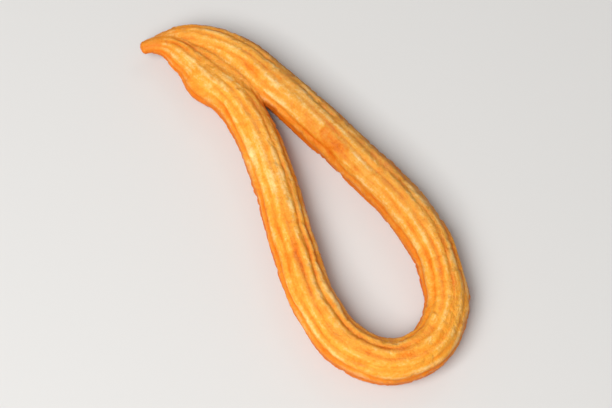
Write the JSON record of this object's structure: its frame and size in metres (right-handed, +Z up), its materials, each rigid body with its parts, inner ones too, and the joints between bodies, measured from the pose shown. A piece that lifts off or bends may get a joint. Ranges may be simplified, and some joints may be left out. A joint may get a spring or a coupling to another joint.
{
  "type": "churro",
  "caption": "Loop churro: a ridged strand of fried dough bent into a teardrop, its two ends pressed together into a small hooked point.",
  "frame": {"origin": "on the plane the churro rests on, under the middle of its bounding box", "axes": "+Z up; +Y along the loop towards the pinched, hooked point; +X to the right seen from above, so that the hook bends towards -X"},
  "size_m": [0.0564, 0.1429, 0.0142],
  "materials": {
    "fried_dough": "golden fried crust, slightly oily, lighter on the crests and browner in the grooves"
  },
  "bodies": {
    "root": {"churro": "fried_dough"}
  },
  "joints": []
}
